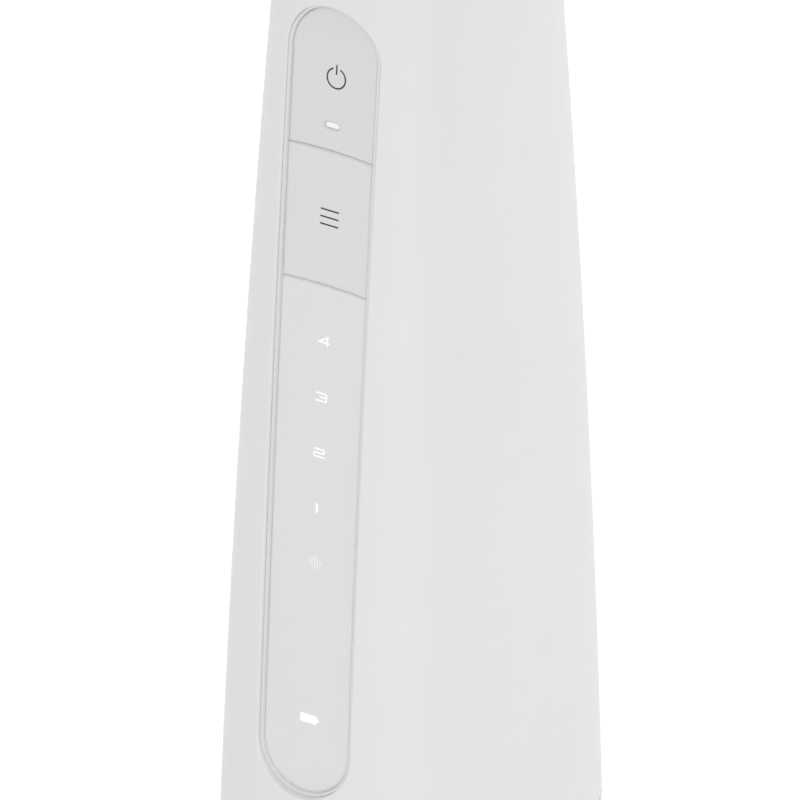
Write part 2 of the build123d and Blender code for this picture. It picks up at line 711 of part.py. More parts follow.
# ================================================================ pump
pump_cylinder = rod((0, pump_y, cylinder_bottom), (0, 0, 1), cylinder_radius, cylinder_height)
pump_cylinder += block((-flange_half_width, plate_front - flange_wall, cylinder_bottom),
                       (flange_half_width, plate_front, cylinder_top))
pump_cylinder += block((-head_half_width, pump_y - head_half_depth, cylinder_bottom),
                       (head_half_width, plate_front, cylinder_bottom + 2.5))
pump_cylinder -= rod((0, pump_y, cylinder_bottom - 1), (0, 0, 1), bore_radius, cylinder_height + 2)
pump_head = block((-head_half_width, pump_y - head_half_depth, head_bottom),
                  (head_half_width, pump_y + head_half_depth, cylinder_bottom))
pump_head -= rod((0, pump_y, cylinder_bottom - 1.6), (0, 0, 1), bore_radius + 0.8, 2)
pump_head += rod((0, pump_y, head_bottom + 0.5), (0, 0, -1), barb_radius, barb_length + 0.5)
pump_head += rod((head_half_width - 0.5, pump_y, head_bottom + head_height / 2), (1, 0, 0), barb_radius,
                 barb_length + 0.5)
pump_head -= rod((0, pump_y, head_bottom - barb_length - 1), (0, 0, 1), barb_radius / 2, barb_length + 5)
pump_head -= rod((head_half_width / 3, pump_y, head_bottom + head_height / 2), (1, 0, 0), barb_radius / 2, 20)
valve_floor = cylinder_bottom - 1.6
valves = []
for side in (-1, 1):
    disc = rod((side * valve_offset, pump_y, valve_floor), (0, 0, 1), valve_radius, valve_wall)
    stem_spot = (side * valve_offset, pump_y, valve_floor - 1.4)
    pump_head -= rod(stem_spot, (0, 0, 1), 0.7, 2)
    valves.append(disc + rod(stem_spot, (0, 0, 1), 0.6, 2))
pump_screws = []
for x in (-1, 1):
    for y in (-1, 1):
        spot = (x * (head_half_width - 1.9), pump_y + y * (head_half_depth - 1.9), head_bottom)
        pump_head -= rod((spot[0], spot[1], head_bottom - 1), (0, 0, 1), small_screw_radius + 0.05,
                         head_height + 2)
        pump_cylinder -= rod((spot[0], spot[1], cylinder_bottom - 1), (0, 0, 1),
                             small_screw_radius + 0.02, 3.5)
        screw = rod(spot, (0, 0, 1), small_screw_radius, head_height + 2)
        screw += rod(spot, (0, 0, -1), small_head_radius, small_head_height)
        pump_screws.append(screw - Pos(spot[0], spot[1], head_bottom - small_head_height) * Box(*small_slot))
piston_radius = bore_radius - run_clear
piston_low = piston_mid - piston_height / 2
yoke_room_x = crank_throw + crank_pin_radius + seam_gap
yoke_room_z = 2 * crank_throw + crank_pin_radius + seam_gap
yoke_bottom = gear_z - yoke_room_z - yoke_bar
yoke = block((-yoke_room_x - yoke_bar, yoke_front, yoke_bottom),
             (yoke_room_x + yoke_bar, yoke_back, gear_z + yoke_room_z + yoke_bar))
yoke -= block((-yoke_room_x, yoke_front - 1, gear_z - yoke_room_z),
              (yoke_room_x, yoke_back + 1, gear_z + yoke_room_z))
piston = rod((0, pump_y, piston_low), (0, 0, 1), piston_radius, piston_height)
piston += rod((0, pump_y, piston_mid), (0, 0, 1), rod_radius, yoke_bottom + 1 - piston_mid)
piston += yoke
seal_groove = pipe((0, pump_y, piston_mid - 0.9), (0, 0, 1), piston_radius + 1, piston_radius - 1.1, 1.8)
piston -= seal_groove
piston_seal = pipe((0, pump_y, piston_mid - 0.9), (0, 0, 1), piston_radius, piston_radius - 1.1, 1.8)

# ================================================================ water tubes
inlet_low = floor_top + 0.6
inlet_tube = pipe((0, port_y, inlet_low), (0, 0, 1), tube_radius, tube_bore, head_bottom - 0.5 - inlet_low)
outlet_z = head_bottom + head_height / 2
outlet_x = head_half_width + 0.4
riser_x = 18.0
riser_end = barb_z - 32.0
barb_tip = seat_radius + 0.6
riser_top_x = 16.0
route = FilletPolyline(
    (outlet_x, pump_y, outlet_z),
    (riser_x, pump_y, outlet_z),
    (riser_x, pump_y, riser_end),
    (riser_top_x, 0, barb_z),
    (barb_tip, 0, barb_z),
    radius=[5.0, 30.0, 4.5],
)
tube_ring = Plane(origin=route @ 0, z_dir=route % 0) * (Circle(tube_radius) - Circle(tube_bore))
outlet_tube = sweep(tube_ring, path=route)

# ================================================================ battery
battery = rod((0, cell_y, cell_bottom), (0, 0, 1), cell_radius, cell_length - 1)
battery = fillet(battery.edges(), 0.6)
battery += rod((0, cell_y, cell_top - 1.5), (0, 0, 1), 3.0, 1.5)
cell_tabs = [
    block((-3, cell_y - 6, cell_bottom - cell_clear + 0.05), (3, cell_y + 6, cell_bottom - 0.03)),
    block((-3, cell_y - 6, cell_top + 0.03), (3, cell_y + 6, cell_top + cell_clear - 0.05)),
]

# ================================================================ top cap
def dome(inset, drop, spans=5):
    """Closed dome over the sleeve's top edge, inset and lowered for its inner side."""
    faces = []
    for i in range(spans + 1):
        turn = asin(dome_height / dome_reach) * i / spans
        height = dome_reach * sin(turn)
        a = (half_width(body_height) - inset) * cos(turn)
        b = (half_depth(body_height) - inset) * cos(turn)
        faces.append(oval(body_height + height - drop, a, b))
    return loft(faces)


deck_top = body_height + dome_height
deck_bottom = deck_top - cap_wall
skirt_inset = shell_wall + face_gap
top_cap = dome(0, 0)
top_cap = fillet([edge for edge in top_cap.edges() if around_rim(edge, body_height, 0)], rim_round)
skirt_low = body_height - cap_skirt
top_cap += body_loft(skirt_low, body_height + 0.5, skirt_inset, 1)
cap_shoulder = body_height + cap_wall * 0.8
top_cap -= dome(cap_wall, cap_wall) & block((-60, -60, cap_shoulder), (60, 60, deck_top))
top_cap -= body_loft(skirt_low - 1, cap_shoulder + 0.1, skirt_inset + cap_wall, 1)
cap_hole = dial_neck_radius + 0.1
top_cap -= rod((0, 0, deck_bottom - 3), (0, 0, 1), cap_hole, 10)
flange_top = seat_flange_z + seat_flange_wall
seat_flange_reach = top_half_width - skirt_inset - cap_wall - seat_flange_margin
seat_post_x = seat_flange_reach - seat_post_inset
dome_inside = dome(cap_wall / 2, cap_wall / 2)
for side in (-1, 1):
    post = rod((side * seat_post_x, 0, flange_top), (0, 0, 1), seat_post_radius, dome_height)
    top_cap += post & dome_inside
    top_cap -= rod((side * seat_post_x, 0, flange_top - 1), (0, 0, 1), small_screw_radius + 0.02, 5.5)
release_hole = rear_prism(release_width + 2 * seam_gap, release_height + 2 * seam_gap, 2.8,
                          release_z, 12, 30)
top_cap -= release_hole

# ================================================================ nozzle seat
nozzle_seat = rod((0, 0, seat_bottom), (0, 0, 1), seat_radius, seat_top - seat_bottom)
nozzle_seat += block((-seat_flange_reach, -seat_flange_half_depth, seat_flange_z),
                     (seat_flange_reach, seat_flange_half_depth, flange_top))
nozzle_seat += rod((seat_radius - 0.5, 0, barb_z), (1, 0, 0), barb_radius, barb_length + 0.5)
gasket_z = stem_bottom - 1.2
gasket_wall = 0.9
nozzle_seat -= rod((0, 0, gasket_z), (0, 0, 1), seat_bore, 40)
nozzle_seat -= rod((0, 0, barb_z - 1.2), (0, 0, 1), 2.0, 10)
nozzle_seat -= rod((0, 0, barb_z), (1, 0, 0), barb_radius / 2, 30)
nozzle_gasket = pipe((0, 0, gasket_z), (0, 0, 1), seat_bore - 0.05, 2.0, gasket_wall)
seat_screws = []
for side in (-1, 1):
    spot = (side * seat_post_x, 0, seat_flange_z)
    nozzle_seat -= rod((spot[0], 0, seat_flange_z - 1), (0, 0, 1), small_screw_radius + 0.1, 5)
    screw = rod(spot, (0, 0, 1), small_screw_radius, seat_flange_wall + 4)
    screw += rod(spot, (0, 0, -1), small_head_radius, small_head_height)
    seat_screws.append(screw - Pos(spot[0], 0, seat_flange_z - small_head_height) * Box(*small_slot))

# ================================================================ release slide
release_front = half_depth(body_height) * cos(asin((release_z - body_height) / dome_reach))
release_face = release_front + release_proud
flange_y = release_front - cap_wall - release_flange - 3.3
release = rear_prism(release_width, release_height, 2.5, release_z, flange_y, release_face - flange_y)
release = fillet(release.faces().sort_by(Axis.Y)[-1].edges(), 0.7)
release += block((-release_width / 2 - 1.5, flange_y, spring_z - spring_radius + 0.4),
                 (release_width / 2 + 1.5, flange_y + release_flange, release_z + 0.2))
plate_end = flange_y + release_flange
slide_plate = block((-latch_half_width, -latch_slot - 3, latch_z),
                    (latch_half_width, plate_end, latch_z + latch_wall))
finger_hole = Pos(0, latch_travel / 2, latch_z) * SlotOverall(
    2 * latch_slot + latch_travel, 2 * latch_slot, rotation=90)
slide_plate -= Pos(0, 0, -1) * extrude(finger_hole, latch_wall + 2)
release += slide_plate
spring_start = seat_radius + 0.1
spring_end = flange_y - 0.1
spring_pitch = (spring_end - spring_start - 2 * spring_wire) / spring_turns
spring_path = Helix(spring_pitch, spring_pitch * spring_turns, spring_radius)
spring_circle = Plane(origin=spring_path @ 0, z_dir=spring_path % 0) * Circle(spring_wire)
spring = sweep(spring_circle, path=spring_path, is_frenet=True)
release_spring = Plane(origin=(0, spring_start + spring_wire, spring_z), z_dir=(0, 1, 0)) * spring

# ================================================================ nozzle dial
dial_low = deck_top + seam_gap
dial_top = dial_low + dial_height
neck_low = deck_bottom - seam_gap - 2.0
profile = make_face(Polyline(
    (dial_bore, neck_low),
    (dial_neck_radius + dial_lip - 0.5, neck_low),
    (dial_neck_radius + dial_lip, neck_low + 0.6),
    (dial_neck_radius + dial_lip, deck_bottom - seam_gap),
    (dial_neck_radius, deck_bottom - seam_gap),
    (dial_neck_radius, dial_low),
    (dial_radius, dial_low),
    (dial_radius, dial_low + 4.4),
    (dial_radius - 1.2, dial_top - 1.0),
    (dial_radius - 2.2, dial_top),
    (dial_bore, dial_top),
    close=True,
))
nozzle_dial = revolve(Plane.XZ * profile, axis=Axis.Z)
for i in range(dial_flutes):
    turn = 2 * pi * (i + 0.5) / dial_flutes
    reach = dial_radius + flute_radius * 0.62
    nozzle_dial -= rod((reach * cos(turn), reach * sin(turn), dial_low - 1), (0, 0, 1),
                       flute_radius, dial_height + 2)
key_room = key_width + 2 * seam_gap
nozzle_dial -= block((-key_room / 2, 0, neck_low - 1),
                     (key_room / 2, key_reach + seam_gap, dial_top + 1))
neck_room = seat_radius - 0.5
nozzle_dial -= rod((0, 0, neck_low - 1), (0, 0, 1), neck_room, 2.6)

# ================================================================ nozzle tip
collar_low = dial_top + seam_gap
collar_top = collar_low + collar_height
straight_top = collar_top + tip_straight
tip_profile = make_face(Polyline(
    (stem_bore, stem_bottom),
    (stem_radius - 0.4, stem_bottom),
    (stem_radius, stem_bottom + 0.6),
    (stem_radius, collar_low),
    (collar_radius, collar_low),
    (collar_radius, collar_top - 1.0),
    (collar_radius - 1.0, collar_top),
    (tip_base_radius + 0.6, collar_top),
    (tip_base_radius, collar_top + 1.2),
    (tip_end_radius, straight_top),
    (tip_bore, straight_top),
    (tip_bore, collar_top + 6),
    (stem_bore, collar_top),
    close=True,
))
nozzle_tip = revolve(Plane.XZ * tip_profile, axis=Axis.Z)
nozzle_tip -= ring(stem_ring_z, stem_radius - stem_ring_section + 0.25, stem_ring_section + 0.02)
bend_turn = radians(tip_bend_angle)


def bend_point(turn):
    return (0, -tip_bend_radius * (1 - cos(turn)), straight_top + tip_bend_radius * sin(turn))


bend = ThreePointArc(bend_point(0), bend_point(bend_turn / 2), bend_point(bend_turn))
bend_frame = Plane(origin=bend_point(0), z_dir=(0, 0, 1))
nozzle_tip += sweep(bend_frame * (Circle(tip_end_radius) - Circle(tip_bore)), path=bend)
point_frame = Plane(origin=bend_point(bend_turn), x_dir=(1, 0, 0), z_dir=(0, -sin(bend_turn), cos(bend_turn)))
point_profile = make_face(Polyline(
    (tip_bore, 0), (tip_end_radius, 0), (tip_end_radius, 1.0), (tip_point_radius, tip_point),
    (jet_radius, tip_point), (jet_radius, 1.5), close=True,
))
nozzle_tip += point_frame.location * revolve(Plane.XZ * point_profile, axis=Axis.Z)
nozzle_tip += block((-key_width / 2, stem_radius - 0.5, dial_low),
                    (key_width / 2, key_reach, collar_low + 0.5))
stem_ring = ring(stem_ring_z, seat_bore - run_clear - stem_ring_section, stem_ring_section)

# ================================================================ charging socket and flap
charge_port = rear_prism(2 * socket_half[0], 2 * socket_half[1], socket_half[1] - 0.02, charge_z,
                         socket_front - socket_length, socket_length)
charge_port -= rear_prism(2 * (socket_half[0] - socket_wall), 2 * (socket_half[1] - socket_wall),
                          socket_half[1] - socket_wall - 0.02, charge_z, socket_front - socket_length + 1,
                          socket_length)
charge_port += block((-3.2, socket_front - socket_length + 0.5, charge_z - 0.35),
                     (3.2, socket_front - 2.2, charge_z + 0.35))
flap = rear_prism(cover_width, cover_height, cover_round - seam_gap, charge_z, cover_floor + face_gap, 12)
flap &= body_loft(charge_z - cover_height, charge_z + cover_height, 0, 2)
flap += rear_prism(cover_plug[0], cover_plug[1], cover_plug[1] / 2 - 0.02, charge_z,
                   cover_floor - cover_plug[2], cover_plug[2] + 0.5)

# ================================================================ write the pieces
write("housing", housing)
write("top_cap", top_cap)
write("housing_floor", housing_floor)
write("panel_bezel", on_panel(bezel))
write("power_button", on_panel(power_button))
write("power_led_window", on_panel(power_window))
write("mode_button", on_panel(mode_button))
write("indicator_lens", on_panel(indicator_lens))
write("button_membrane", on_panel(membrane))
write("control_board", on_panel(board))
write("board_screws", Compound(board_screws))
write("tact_switches", Compound(switches))
write("indicator_leds", Compound(leds))
write("port_o_ring", port_ring)
write("suction_tube", suction_tube)
write("suction_filter", suction_filter)
write("tank", tank)
write("foot_ring", foot_ring)
write("tank_lid", tank_lid)
write("lid_seal", lid_seal)
write("lid_hinge_pin", lid_pin)
write("chassis", chassis)
write("chassis_screws", Compound(chassis_screws))
write("motor_screws", Compound(motor_screws))
write("motor_can", motor_can)
write("motor_magnets", magnets)
write("motor_rotor", rotor)
write("motor_end_cap", end_cap)
write("pinion", pinion)
write("drive_gear", drive_gear)
write("gear_axle", gear_axle)
write("piston_yoke", piston)
write("piston_seal", piston_seal)
write("pump_cylinder", pump_cylinder)
write("pump_head", pump_head)
write("pump_valves", Compound(valves))
write("pump_screws", Compound(pump_screws))
write("inlet_tube", inlet_tube)
write("outlet_tube", outlet_tube)
write("battery_cell", battery)
write("battery_tabs", Compound(cell_tabs))
write("nozzle_seat", nozzle_seat)
write("nozzle_gasket", nozzle_gasket)
write("seat_screws", Compound(seat_screws))
write("nozzle_release", release)
write("release_spring", release_spring)
write("nozzle_dial", nozzle_dial)
write("nozzle_tip", nozzle_tip)
write("stem_o_ring", stem_ring)
write("charge_port", charge_port)
write("port_cover", flap)
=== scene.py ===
import math

import bmesh
import bpy
from mathutils import Matrix, Vector
from mathutils.bvhtree import BVHTree


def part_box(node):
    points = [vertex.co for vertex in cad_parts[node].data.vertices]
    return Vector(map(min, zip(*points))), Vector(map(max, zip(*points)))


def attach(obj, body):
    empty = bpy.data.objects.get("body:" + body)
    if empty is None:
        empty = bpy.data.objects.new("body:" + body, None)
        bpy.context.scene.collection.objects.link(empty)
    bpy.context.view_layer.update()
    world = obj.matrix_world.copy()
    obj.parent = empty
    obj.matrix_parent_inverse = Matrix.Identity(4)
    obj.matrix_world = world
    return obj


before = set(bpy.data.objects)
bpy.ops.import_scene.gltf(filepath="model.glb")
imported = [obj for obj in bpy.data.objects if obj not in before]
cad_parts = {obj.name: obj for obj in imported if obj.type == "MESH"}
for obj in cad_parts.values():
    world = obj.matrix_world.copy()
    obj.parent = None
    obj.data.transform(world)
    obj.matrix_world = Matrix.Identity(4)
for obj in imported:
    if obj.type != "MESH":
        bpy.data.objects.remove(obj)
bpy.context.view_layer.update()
mm = 0.001

# ---------------------------------------------------------------- viewpoint
# The camera stands well back at the front right, above the handle, and looks down on the
# control panel. The long lens keeps the taper of the sleeve as it is on the real object.
view_azimuth = math.radians(33.26)
view_elevation = math.radians(27.09)
view_roll = math.radians(0.38)
view_distance = 6500 * mm
view_width = 145.89 * mm  # what the frame spans at the object
view_height = 131.90 * mm  # level on the object's axis that the camera looks at
view_side = -2.48 * mm

sensor = 36.0
back = Vector((math.sin(view_azimuth) * math.cos(view_elevation),
               -math.cos(view_azimuth) * math.cos(view_elevation),
               math.sin(view_elevation)))
level = Vector((math.cos(view_azimuth), math.sin(view_azimuth), 0))
upright = back.cross(level)
right = level * math.cos(view_roll) + upright * math.sin(view_roll)
above = back.cross(right)
camera = bpy.data.objects.new("camera", bpy.data.cameras.new("camera"))
bpy.context.scene.collection.objects.link(camera)
turned = Matrix((right, above, back)).transposed().to_4x4()
camera.matrix_world = Matrix.Translation(
    Vector((0, 0, view_height)) + right * view_side + back * view_distance) @ turned
camera.data.sensor_width = sensor
camera.data.lens = sensor * view_distance / view_width
camera.data.clip_end = 100
bpy.context.scene.camera = camera

# ---------------------------------------------------------------- studio
# A pale room lights from all round. Broad soft lamps at the front left and front right model
# the sleeve, one behind rims its right edge, and a low one lifts its foot. The floor is card.
room_level = 0.84
lamps = {  # direction in degrees from the front, distance, height and size in metres, watts
    "front_lamp": (-35, 2.0, 0.9, 1.0, 2.0),
    "key_lamp": (42, 2.0, 0.8, 0.8, 4.0),
    "edge_lamp": (150, 1.6, 0.5, 0.5, 3.0),
    "low_lamp": (45, 0.36, 0.03, 0.12, 0.10),
}
floor_reach = 6.0
floor_colour = (0.86, 0.86, 0.865, 1)
floor_lift = 0.34  # keeps the lit floor paper white and leaves the contact shadow
lamp_aim = 0.14  # the highest that a lamp looks

scene = bpy.context.scene
scene.view_settings.view_transform = "Standard"
room = bpy.data.worlds.new("room")
room.use_nodes = True
scene.world = room


def node_in(tree, kind, values=(), **settings):
    """New node in a tree, with its settings and the plain values of its inputs."""
    node = tree.nodes.new(kind)
    for name, value in settings.items():
        setattr(node, name, value)
    for name, value in dict(values).items():
        node.inputs[name].default_value = value
    return node


def seen_directly(tree):
    """1 for what the camera sees itself, in a mirror or through glass, and 0 for lighting."""
    path = node_in(tree, "ShaderNodeLightPath")
    mirror = node_in(tree, "ShaderNodeMath", operation="MAXIMUM")
    glass = node_in(tree, "ShaderNodeMath", operation="MAXIMUM")
    tree.links.new(path.outputs["Is Camera Ray"], mirror.inputs[0])
    tree.links.new(path.outputs["Is Glossy Ray"], mirror.inputs[1])
    tree.links.new(mirror.outputs[0], glass.inputs[0])
    tree.links.new(path.outputs["Is Transmission Ray"], glass.inputs[1])
    return glass.outputs[0]


sky = room.node_tree.nodes["Background"]
sky.inputs["Color"].default_value = (1, 1, 1, 1)
bright = node_in(room.node_tree, "ShaderNodeMapRange", {"To Min": room_level, "To Max": 1.0})
room.node_tree.links.new(seen_directly(room.node_tree), bright.inputs["Value"])
room.node_tree.links.new(bright.outputs["Result"], sky.inputs["Strength"])
for name, (turn, distance, height, size, power) in lamps.items():
    lamp = bpy.data.objects.new(name, bpy.data.lights.new(name, "AREA"))
    lamp.data.size = size
    lamp.data.energy = power
    lamp.visible_camera = False
    way = math.radians(turn)
    lamp.location = (distance * math.sin(way), -distance * math.cos(way), height)
    aim = Vector((0, 0, min(height, lamp_aim))) - lamp.location
    lamp.rotation_mode = "QUATERNION"
    lamp.rotation_quaternion = aim.to_track_quat("-Z", "Y")
    scene.collection.objects.link(lamp)

card = bpy.data.materials.new("white_card")
card.use_nodes = True
card_shader = card.node_tree.nodes["Principled BSDF"]
card_shader.inputs["Base Color"].default_value = floor_colour
card_shader.inputs["Roughness"].default_value = 0.9
card_shader.inputs["Specular IOR Level"].default_value = 0.1
card_shader.inputs["Emission Color"].default_value = (1, 1, 1, 1)
fibre = node_in(card.node_tree, "ShaderNodeTexNoise", {"Scale": 900.0, "Detail": 3.0})
tooth = node_in(card.node_tree, "ShaderNodeBump", {"Strength": 0.1, "Distance": 0.0002})
card.node_tree.links.new(fibre.outputs["Fac"], tooth.inputs["Height"])
card.node_tree.links.new(tooth.outputs["Normal"], card_shader.inputs["Normal"])
lift = node_in(card.node_tree, "ShaderNodeMapRange", {"To Min": 0.0, "To Max": floor_lift})
card.node_tree.links.new(seen_directly(card.node_tree), lift.inputs["Value"])
card.node_tree.links.new(lift.outputs["Result"], card_shader.inputs["Emission Strength"])
floor_mesh = bmesh.new()
bmesh.ops.create_circle(floor_mesh, cap_ends=True, segments=96, radius=floor_reach)
floor = bpy.data.objects.new("floor", bpy.data.meshes.new("floor"))
floor_mesh.to_mesh(floor.data)
floor_mesh.free()
floor.data.materials.append(card)
scene.collection.objects.link(floor)

# ---------------------------------------------------------------- grip sleeve and top cap
# The sleeve is one injection moulding in white ABS, wiped to a fine satin by the spark-eroded
# mould. The cap above it comes from the same plastic and clips over the sleeve's top edge.
shell_white = (0.785, 0.787, 0.79)
gap_reach = 1.2 * mm
gap_shut, gap_open = 0.3, 0.85  # share of open sky at which the painted gap light is full, and gone
# Painted light in the sleeve's narrow gaps: an emission that grows as a gap narrows.
shell_painted_gap_light = 0.06


def start_finish(name):
    """Empty material; returns it with its shader."""
    finish = bpy.data.materials.new(name)
    finish.use_nodes = True
    return finish, finish.node_tree.nodes["Principled BSDF"]


def noise(shader, scale, detail=2.0, stretch=None):
    """Solid noise fixed to the piece. Stretch is the scale of its three directions."""
    tree = shader.id_data
    place = node_in(tree, "ShaderNodeTexCoord").outputs["Object"]
    if stretch:
        mapping = node_in(tree, "ShaderNodeMapping", {"Scale": stretch})
        tree.links.new(place, mapping.inputs["Vector"])
        place = mapping.outputs["Vector"]
    grain = node_in(tree, "ShaderNodeTexNoise", {"Scale": scale, "Detail": detail})
    tree.links.new(place, grain.inputs["Vector"])
    return grain.outputs["Fac"]


def spread(shader, source, low, high, target):
    """Sends a noise to a socket, spread between two values."""
    tree = shader.id_data
    reach = node_in(tree, "ShaderNodeMapRange",
                    {"From Min": 0.3, "From Max": 0.7, "To Min": low, "To Max": high})
    tree.links.new(source, reach.inputs["Value"])
    tree.links.new(reach.outputs["Result"], shader.inputs[target])


def tint(shader, source, colour, other):
    """Colour that drifts between two shades with a noise."""
    tree = shader.id_data
    mix = node_in(tree, "ShaderNodeMix", data_type="RGBA", clamp_factor=True)
    mix.inputs[6].default_value = (*colour, 1)
    mix.inputs[7].default_value = (*other, 1)
    tree.links.new(source, mix.inputs[0])
    tree.links.new(mix.outputs[2], shader.inputs["Base Color"])


def raise_grain(shader, *layers, edge=0.0):
    """Bump from several noises, each with its depth in metres, over softened edges."""
    tree = shader.id_data
    normal = None
    if edge:
        soft = node_in(tree, "ShaderNodeBevel", {"Radius": edge}, samples=6)
        normal = soft.outputs["Normal"]
    for source, depth in layers:
        bump = node_in(tree, "ShaderNodeBump", {"Strength": 1.0, "Distance": depth})
        tree.links.new(source, bump.inputs["Height"])
        if normal:
            tree.links.new(normal, bump.inputs["Normal"])
        normal = bump.outputs["Normal"]
    tree.links.new(normal, shader.inputs["Normal"])


def moulded(name, colour, rough=0.42, grain=4200.0, depth=0.000012, drift=0.012, gloss=0.5,
            edge=0.0, painted_gap_light=0.0):
    """Injection-moulded plastic: spark-eroded grain, slow drift in shade and in gloss.

    Edge is the radius that its edges look rounded to. Painted gap light is painted light: an emission
    that lights the narrow gaps beside the piece, in place of light coming through thin white plastic."""
    finish, shader = start_finish(name)
    other = [max(0.0, c * (1 - 2.5 * drift)) for c in colour]
    tint(shader, noise(shader, 38.0, 3.0), colour, other)
    spread(shader, noise(shader, 320.0, 3.0), rough - 0.05, rough + 0.06, "Roughness")
    raise_grain(shader, (noise(shader, 26.0), 0.00012), (noise(shader, grain, 4.0), depth),
                edge=edge)
    shader.inputs["Specular IOR Level"].default_value = gloss
    if painted_gap_light:
        tree = finish.node_tree
        # Painted light: the emission rises where the ambient-occlusion node finds a narrow gap.
        gap = node_in(tree, "ShaderNodeAmbientOcclusion", {"Distance": gap_reach}, samples=6)
        glow = node_in(tree, "ShaderNodeMapRange",
                       {"From Min": gap_open, "From Max": gap_shut, "To Min": 0.0, "To Max": painted_gap_light})
        shader.inputs["Emission Color"].default_value = (1, 1, 1, 1)
        tree.links.new(gap.outputs["AO"], glow.inputs["Value"])
        tree.links.new(glow.outputs["Result"], shader.inputs["Emission Strength"])
    return finish


def dress(name, finish):
    """Gives a finish to a piece that came with the frame."""
    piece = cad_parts[name]
    if not piece.material_slots:
        piece.data.materials.append(finish)
    for slot in piece.material_slots:
        slot.material = finish


dress("housing", moulded("satin_shell", shell_white, painted_gap_light=shell_painted_gap_light))
dress("top_cap", moulded("satin_cap", shell_white))

# ---------------------------------------------------------------- panel rim and lens
# A thin glossy rim lines the panel's recess. The long lens is light-passing white acrylic,
# polished, and the keys above it are a shade greyer in a satin ABS.
rim_white = (0.76, 0.762, 0.765)
lens_white = (0.765, 0.767, 0.77)
key_white = (0.722, 0.724, 0.727)
# Painted light in the narrow gaps round the keys, lens and rim: an emission that grows as a gap narrows.
key_painted_gap_light = 0.11
key_edge = 0.6 * mm
window_white = (0.95, 0.95, 0.95)
window_glow = 0.06

soft = dict(edge=key_edge, painted_gap_light=key_painted_gap_light)
dress("panel_bezel", moulded("gloss_rim", rim_white, rough=0.24, depth=0.000004,
                             edge=key_edge / 3, painted_gap_light=key_painted_gap_light))
dress("indicator_lens", moulded("lens_acrylic", lens_white, rough=0.34, depth=0.000006, **soft))
dress("power_button", moulded("power_key", key_white, rough=0.38, depth=0.000009, **soft))
# The mode key is the power key's plastic painted 2 % lighter: painted light for the brighter light lower
# on the panel.
key_white_painted_lighter = [c * 1.02 for c in key_white]
dress("mode_button", moulded("mode_key", key_white_painted_lighter, rough=0.38, depth=0.000009, **soft))


def glowing(name, colour, strength, rough=0.3):
    """Diffuser that is lit from behind, a little uneven across its face."""
    finish = moulded(name, colour, rough=rough, depth=0.000003)
    shader = finish.node_tree.nodes["Principled BSDF"]
    shader.inputs["Emission Color"].default_value = (1, 1, 1, 1)
    spread(shader, noise(shader, 700.0), strength * 0.9, strength * 1.1, "Emission Strength")
    return finish


dress("power_led_window", glowing("window_diffuser", window_white, window_glow))

# ---------------------------------------------------------------- printed symbols on the keys
# The power ring and the three lines are pad-printed in dark grey ink, a thin raised film over
# the switches. Film and lit symbols are flat shapes laid on the real curve of the panel.
ink_grey = (0.028, 0.028, 0.03)
ink_film = 0.02 * mm
stroke_width = 0.30 * mm
power_drop = 0.32 * mm
symbol_shift = 0.45 * mm  # the print sits a little right of the panel's middle
ring_radius = 1.97 * mm
ring_gap = math.radians(26)
bar_low = 0.85 * mm
bar_high = 2.55 * mm
line_length = 4.0 * mm
line_pitch = 1.46 * mm


def solids_of(name):
    """Middles of the separate solids of one node, highest first."""
    shape = bmesh.new()
    shape.from_mesh(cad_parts[name].data)
    bmesh.ops.remove_doubles(shape, verts=shape.verts, dist=1e-6)
    left = set(shape.verts)
    middles = []
    while left:
        group = [left.pop()]
        for vert in group:
            for edge in vert.link_edges:
                other = edge.other_vert(vert)
                if other in left:
                    left.remove(other)
                    group.append(other)
        low = Vector([min(v.co[i] for v in group) for i in range(3)])
        high = Vector([max(v.co[i] for v in group) for i in range(3)])
        middles.append((low + high) / 2)
    shape.free()
    return sorted(middles, key=lambda place: -place.z)


def skin_of(name):
    """Surface tree of one node, to lay things on."""
    return BVHTree.FromPolygons([v.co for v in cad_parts[name].data.vertices],
                                [p.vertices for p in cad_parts[name].data.polygons])


def lay(shape, name, node, middle, across, up, finish, sink=0.05 * mm):
    """Makes a flat shape (x across, y up, z its height) a piece on a node's surface.

    What lies at height zero goes a little into the surface, so that the film has no gap."""
    out = across.cross(up)
    skin = skin_of(node)
    for vert in shape.verts:
        x, y, height = vert.co
        start = middle + across * x + up * y + out * 0.05
        hit = skin.ray_cast(start, -out)[0]
        vert.co = hit + out * (height if height > 0 else -sink)
    bmesh.ops.recalc_face_normals(shape, faces=shape.faces)
    mesh = bpy.data.meshes.new(name)
    shape.to_mesh(mesh)
    shape.free()
    mesh.materials.clear()
    mesh.materials.append(finish)
    piece = bpy.data.objects.new(name, mesh)
    bpy.context.scene.collection.objects.link(piece)
    return piece


def outline_of(points, width):
    """Closed outline of a pen stroke of one width along a line, with round ends."""
    points = [Vector(p) for p in points]
    runs = [(b - a).normalized() for a, b in zip(points, points[1:])]
    half = width / 2
    one_side, other_side = [], []
    for i, point in enumerate(points):
        before = runs[max(i - 1, 0)]
        after = runs[min(i, len(runs) - 1)]
        way = (before + after).normalized()
        normal = Vector((-way.y, way.x)) * half / max(way.dot(after), 0.5)
        one_side.append(point + normal)
        other_side.append(point - normal)

    def cap(point, way):
        start = math.atan2(way.y, way.x) + math.pi / 2
        return [point + Vector((math.cos(start - a), math.sin(start - a))) * half
                for a in (math.pi * k / 6 for k in range(1, 6))]

    return one_side + cap(points[-1], runs[-1]) + other_side[::-1] + cap(points[0], -runs[0])


